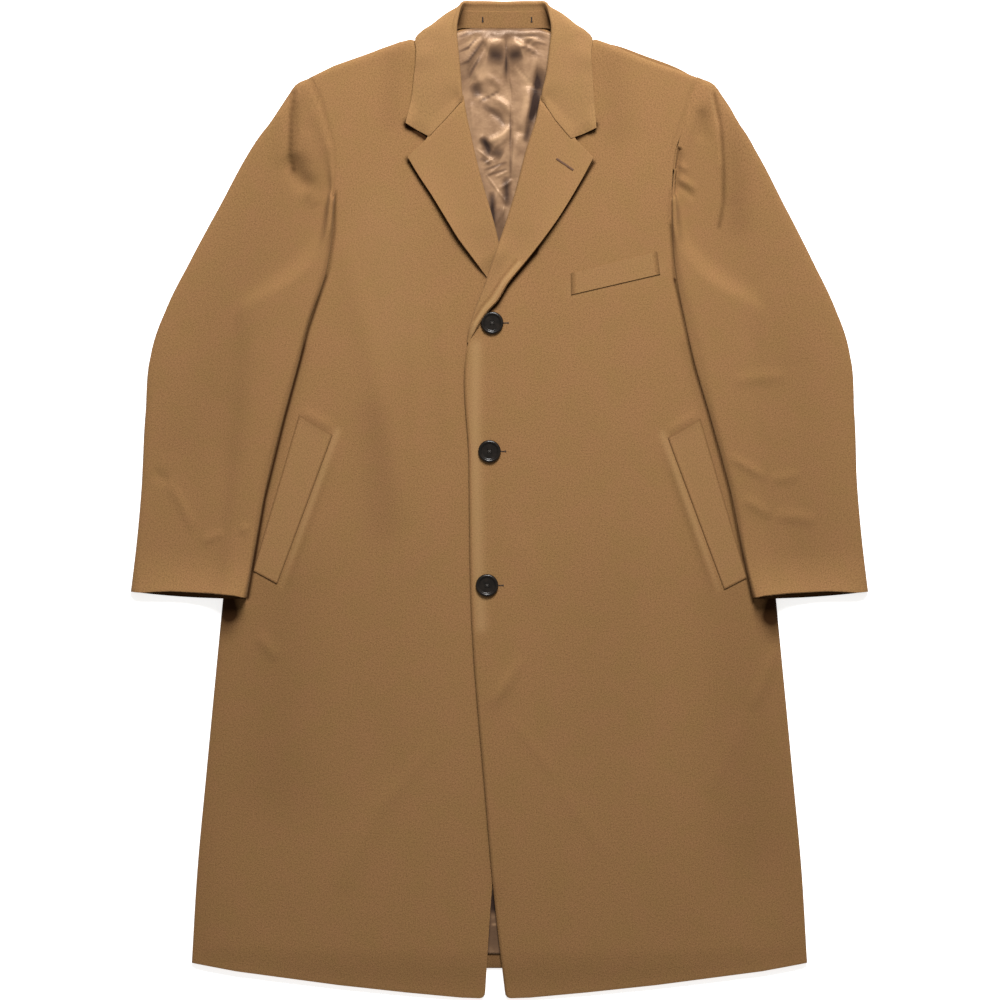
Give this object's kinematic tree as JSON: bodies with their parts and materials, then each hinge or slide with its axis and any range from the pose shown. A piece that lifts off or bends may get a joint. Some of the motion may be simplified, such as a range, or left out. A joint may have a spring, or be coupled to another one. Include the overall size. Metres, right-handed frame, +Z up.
{
  "type": "wool overcoat",
  "caption": "Long single-breasted wool overcoat laid flat on its back and buttoned, with a notched collar, slanted welt pockets, a breast welt and a satin back lining",
  "frame": {"origin": "on the surface under the coat, at the middle of its bounding box", "axes": "+Z up from the surface, +Y from hem to collar, +X to the right of someone who looks down on the coat with its collar away from them"},
  "size_m": [0.877, 1.1868, 0.0209],
  "materials": {
    "wool": "camel wool melton with a short felted nap",
    "satin": "copper-beige lining satin with a soft sheen",
    "horn": "dark brown polished horn"
  },
  "bodies": {
    "root": {"back": "wool", "back_lining": "satin", "front_right": "wool", "front_left": "wool", "lapel_right": "wool", "lapel_left": "wool", "collar": "wool", "collar_stand": "wool", "top_sleeve_right": "wool", "under_sleeve_right": "wool", "top_sleeve_left": "wool", "under_sleeve_left": "wool", "breast_welt": "wool", "pocket_welt_right": "wool", "pocket_welt_left": "wool", "button_1": "horn", "button_2": "horn", "button_3": "horn"}
  },
  "joints": []
}
